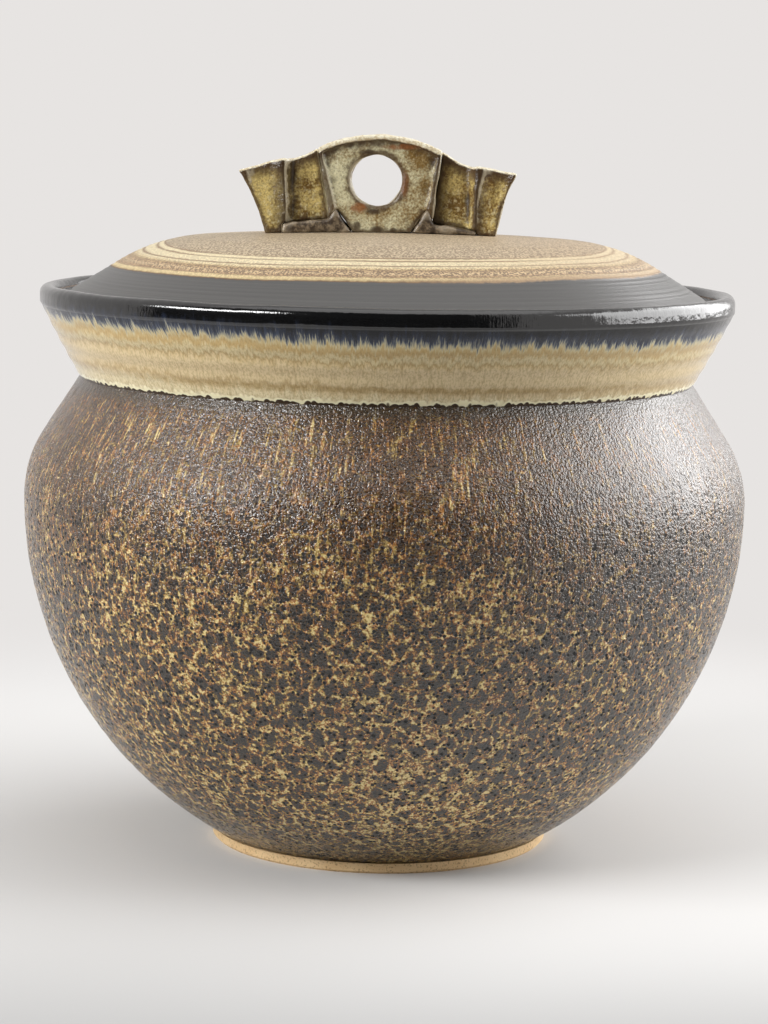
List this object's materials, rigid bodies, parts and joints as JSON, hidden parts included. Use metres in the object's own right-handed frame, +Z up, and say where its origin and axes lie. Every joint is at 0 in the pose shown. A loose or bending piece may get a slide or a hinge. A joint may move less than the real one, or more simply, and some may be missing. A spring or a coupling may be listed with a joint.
{
  "type": "lidded pot",
  "caption": "Round-bellied glazed pot on a narrow foot, with a flared collar, a rolled rim and a loose shallow domed lid whose arched handle is pierced by a finger hole.",
  "frame": {"origin": "centre of the foot ring's lower face, on the surface that the pot stands on", "axes": "+Z up along the pot's axis, the handle's broad faces look along -Y and +Y, and its length runs along X"},
  "size_m": [0.2596, 0.2596, 0.2546],
  "materials": {
    "body_glaze": "pitted satin dark brown glaze with ochre flecks",
    "bare_clay": "bare fired buff clay",
    "collar_glaze": "glossy cream and tan glaze with fine vertical streaks",
    "rim_glaze": "glossy black glaze with ragged runs",
    "lid_glaze": "satin grey border round a speckled beige centre",
    "luting_glaze": "satin purple-brown glaze",
    "handle_glaze": "satin speckled ochre glaze with dark edges"
  },
  "bodies": {
    "pot": {"thrown_body": "body_glaze", "foot_ring": "bare_clay", "collar": "collar_glaze", "rolled_rim": "rim_glaze", "lid_gallery": "bare_clay"},
    "lid": {"lid_dome": "lid_glaze", "lid_flange": "bare_clay", "handle_luting": "luting_glaze", "handle_arch": "handle_glaze", "handle_wing_left": "handle_glaze", "handle_wing_right": "handle_glaze"}
  },
  "joints": [
    {"name": "lid_lift", "type": "slide", "parent": "pot", "child": "lid", "axis": [0, 0, 1], "range_m": [0, 0.12]}
  ]
}
